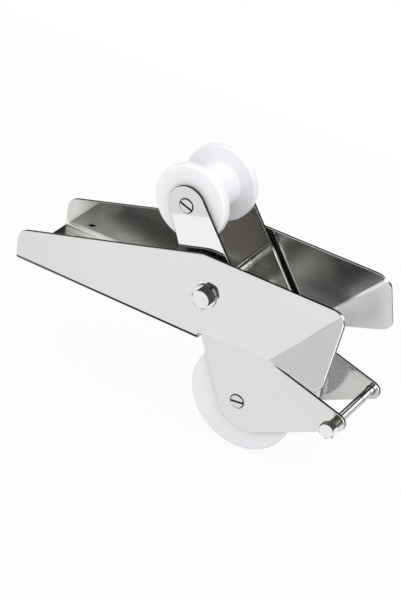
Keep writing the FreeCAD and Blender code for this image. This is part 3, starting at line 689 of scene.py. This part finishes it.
def thread(name, bolt, ends, radius, pitch, material, body):
    """The ridge of a rolled thread round a bolt that lies across the channel, between two places in Y."""
    centre = middle(bolt)
    start, end = ends
    mesh = bmesh.new()
    rows = []
    for step in range(int((end - start) / pitch * THREAD_STEPS) + 1):
        angle = 2 * math.pi * step / THREAD_STEPS
        y = start + pitch * step / THREAD_STEPS
        rows.append([
            mesh.verts.new((centre.x + math.cos(angle) * (radius + height), y + shift * pitch,
                            centre.z + math.sin(angle) * (radius + height)))
            for height, shift in THREAD_SECTION])
    for first, second in zip(rows, rows[1:]):
        for corner in range(len(THREAD_SECTION) - 1):
            mesh.faces.new((first[corner + 1], second[corner + 1], second[corner], first[corner]))
    mesh.faces.new(rows[0])
    mesh.faces.new(reversed(rows[-1]))
    bmesh.ops.recalc_face_normals(mesh, faces=mesh.faces)
    piece = show(name, finished_mesh(name, mesh, material))
    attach(piece, body)


def make_camera():
    """Long lens, turned about its own axis as the photographer held it."""
    azimuth, elevation, roll = map(math.radians, (CAMERA_AZIMUTH, CAMERA_ELEVATION, CAMERA_ROLL))
    back = Vector((math.sin(azimuth) * math.cos(elevation), -math.cos(azimuth) * math.cos(elevation),
                   math.sin(elevation)))
    right = Vector((math.cos(azimuth), math.sin(azimuth), 0))
    up = back.cross(right)
    turned_right = right * math.cos(roll) + up * math.sin(roll)
    turned_up = up * math.cos(roll) - right * math.sin(roll)
    camera = bpy.data.cameras.new("camera")
    camera.sensor_width = SENSOR
    camera.lens = SENSOR * FOCAL_PIXELS / IMAGE_HEIGHT
    camera.clip_start, camera.clip_end = CAMERA_RANGE
    holder = show("camera", camera)
    turn = Matrix((turned_right, turned_up, back)).transposed()
    holder.matrix_world = Matrix.Translation(CAMERA_AIM + back * CAMERA_DISTANCE) @ turn.to_4x4()
    bpy.context.scene.camera = holder


def seen_and_mirrored(tree):
    """Masks of the rays that show a surface or the world itself, and of those that polished steel mirrors."""
    path = add_node(tree, "ShaderNodeLightPath")
    return (largest(tree, path.outputs["Is Camera Ray"], path.outputs["Is Transmission Ray"]),
            path.outputs["Is Glossy Ray"])


def make_floor():
    """White table just under the lower roller; the camera and polished steel see it lit evenly, but for its shades."""
    material, shader = new_material("floor")
    tree = material.node_tree
    shader.inputs["Base Color"].default_value = (*grey(STAGE_GREY), 1)
    shader.inputs["Roughness"].default_value = STAGE_ROUGHNESS
    shader.inputs["Specular IOR Level"].default_value = 0.0
    x, y, _ = split(tree, coordinate(tree, "Object"))
    shades = []
    for across, along, half_length, half_width, level, core in SHADES:
        flat = add_node(tree, "ShaderNodeCombineXYZ", {
            "X": calculate(tree, "DIVIDE", calculate(tree, "SUBTRACT", x, along), half_length),
            "Y": calculate(tree, "DIVIDE", calculate(tree, "SUBTRACT", y, across), half_width)})
        away = length(tree, flat.outputs["Vector"])
        shades.append(spread(tree, away, level, STAGE_MIRRORED, core, 1.0, smooth=True))
    seen, glossy = seen_and_mirrored(tree)
    glow = mix_colours(tree, glossy, grey(1.0), calculate(tree, "MINIMUM", *shades))
    mix = add_node(tree, "ShaderNodeMixShader", {
        "Fac": largest(tree, product(tree, seen, STAGE_SEEN), glossy),
        1: shader.outputs["BSDF"],
        2: add_node(tree, "ShaderNodeEmission", {"Color": glow}).outputs["Emission"]})
    tree.links.new(mix.outputs["Shader"], tree.nodes["Material Output"].inputs["Surface"])

    mesh = bmesh.new()
    bmesh.ops.create_grid(mesh, x_segments=1, y_segments=1, size=STAGE_SIZE / 2)
    floor = show("floor", finished_mesh("floor", mesh, material))
    floor.location = (middle("channel_frame").x, STAGE_Y, cad_box[0].z - STAGE_GAP)


def make_lamp():
    """A broad lamp above and to the right, for the nylon; polished steel doesn't mirror it."""
    lamp = bpy.data.lights.new("lamp", "AREA")
    lamp.shape = "DISK"
    lamp.size = LAMP_SIZE
    lamp.energy = LAMP_POWER
    holder = show("lamp", lamp)
    back = Vector(LAMP_FROM).normalized()
    holder.location = CAMERA_AIM + back * LAMP_DISTANCE
    holder.rotation_euler = back.to_track_quat("Z", "Y").to_euler()
    holder.visible_glossy = False


def grey_ramp(tree, value, stops):
    """A grey that follows a value through stops."""
    node = add_node(tree, "ShaderNodeValToRGB", {"Fac": value})
    elements = node.color_ramp.elements
    while len(elements) < len(stops):
        elements.new(0.5)
    for element, (position, level) in zip(elements, stops):
        element.position = position
        element.color = (*grey(level), 1)
    return node.outputs["Color"]


def softbox(tree, direction, towards, edge, core):
    """A round light in the studio, 1 within the core and 0 past the edge; both are cosines."""
    facing = add_node(tree, "ShaderNodeVectorMath", {0: direction, 1: Vector(towards).normalized()},
                      operation="DOT_PRODUCT")
    return rise(tree, facing.outputs["Value"], edge, core, smooth=True)


def mirrored_studio(tree, direction, height, to_front):
    """What polished steel sees.

    Greys change from the horizon through a dark belt to a bright top. Over them lie a bright bank at the right, a
    grey one at the left, two softboxes and two dark fields.
    """
    x, _, z = split(tree, direction)
    studio = mix_colours(tree, to_front, grey_ramp(tree, height, REAR_RAMP), grey_ramp(tree, height, FRONT_RAMP))
    under_top = calculate(tree, "SUBTRACT", z, mix_values(tree, to_front, *RIGHT_TOPS))
    right = product(tree, rise(tree, x, *RIGHT_STARTS, smooth=True), rise(tree, z, *RIGHT_FOOT, smooth=True),
                    fall(tree, under_top, -RIGHT_TOP_BLUR, 0.0, smooth=True))
    off_height = calculate(tree, "ABSOLUTE", calculate(tree, "SUBTRACT", z, LEFT_HEIGHT))
    left = product(tree, fall(tree, x, *LEFT_ENDS, smooth=True),
                   fall(tree, off_height, *LEFT_HALF_HEIGHT, smooth=True))
    studio = mix_colours(tree, right, studio, mix_colours(tree, to_front, *map(grey, RIGHT_LEVELS)))
    studio = mix_colours(tree, left, studio, grey(LEFT_LEVEL))
    for towards, edge, core, level in SOFTBOXES:
        studio = mix_colours(tree, softbox(tree, direction, towards, edge, core), studio, grey(level))
    return studio


def make_world():
    """White to the camera, a room lit from the front and above for matt surfaces, and a studio for polished steel."""
    world = bpy.data.worlds.new("studio")
    bpy.context.scene.world = world
    world.use_nodes = True
    tree = world.node_tree
    tree.nodes.remove(tree.nodes["Background"])
    direction = coordinate(tree, "Generated")
    _, y, z = split(tree, direction)
    height = rise(tree, z, -1.0, 1.0)
    to_front = fall(tree, y, *FRONT_ENDS, smooth=True)
    room = mix_colours(tree, product(tree, to_front, ROOM_FRONT_SHARE), grey_ramp(tree, height, ROOM_RAMP),
                       grey(ROOM_FRONT))
    seen, glossy = seen_and_mirrored(tree)
    lit = mix_colours(tree, glossy, room, mirrored_studio(tree, direction, height, to_front))
    background = add_node(tree, "ShaderNodeBackground", {"Color": mix_colours(tree, seen, lit, grey(1.0))})
    tree.links.new(background.outputs["Background"], tree.nodes["World Output"].inputs["Surface"])


dress(["channel_frame"], sheet_steel("channel_steel", 0, channel_edge, channel_finish))
dress(["cradle_plate_near", "cradle_plate_far"], sheet_steel("plate_steel", 2, plate_edge, plate_finish))
break_edges(["channel_frame", "cradle_plate_near", "cradle_plate_far"])

dress(["pivot_nut_washer", "pivot_lock_nut", "upper_axle", "lower_axle", "retaining_bolt_nut"],
      fastener_steel("bolt_steel", BOLT_STEEL, sides=NUT_SIDES))
dress(["pivot_bolt", "pivot_head_washer"],
      fastener_steel("pivot_steel", PIVOT_STEEL, sides=PIVOT_SIDES, shank=PIVOT_SHANK))
dress(["retaining_bolt"], fastener_steel("retaining_steel", RETAINING_STEEL, sides=RETAINING_SIDES))
for axle, turn in SLOT_TURNS.items():
    for side, sign in (("near", 1), ("far", -1)):
        screw = f"{axle}_axle_screw_{side}"
        slot = (middle(screw), math.radians(turn * sign))
        dress([screw], fastener_steel(screw + "_steel", SCREW_STEEL, slot=slot))

for roller in ("upper_roller", "lower_roller"):
    dress([roller], turned_nylon(roller + "_nylon", ROLLER_NYLON, middle(roller)))
dress(["pivot_thrust_washer_near", "pivot_thrust_washer_far", "pivot_lock_nut_ring"],
      turned_nylon("washer_nylon", WASHER_NYLON, middle("pivot_bolt")))

thread_steel = fastener_steel("thread_steel", THREAD_STEEL)
thread("retaining_bolt_thread", "retaining_bolt", RETAINING_THREAD, M8_RADIUS, M8_PITCH, thread_steel,
       "cradle")
thread("pivot_bolt_thread", "pivot_bolt", PIVOT_THREAD, M10_RADIUS, M10_PITCH, thread_steel,
       "channel")

make_camera()
make_floor()
make_lamp()
make_world()
bpy.context.scene.view_settings.view_transform = "Standard"
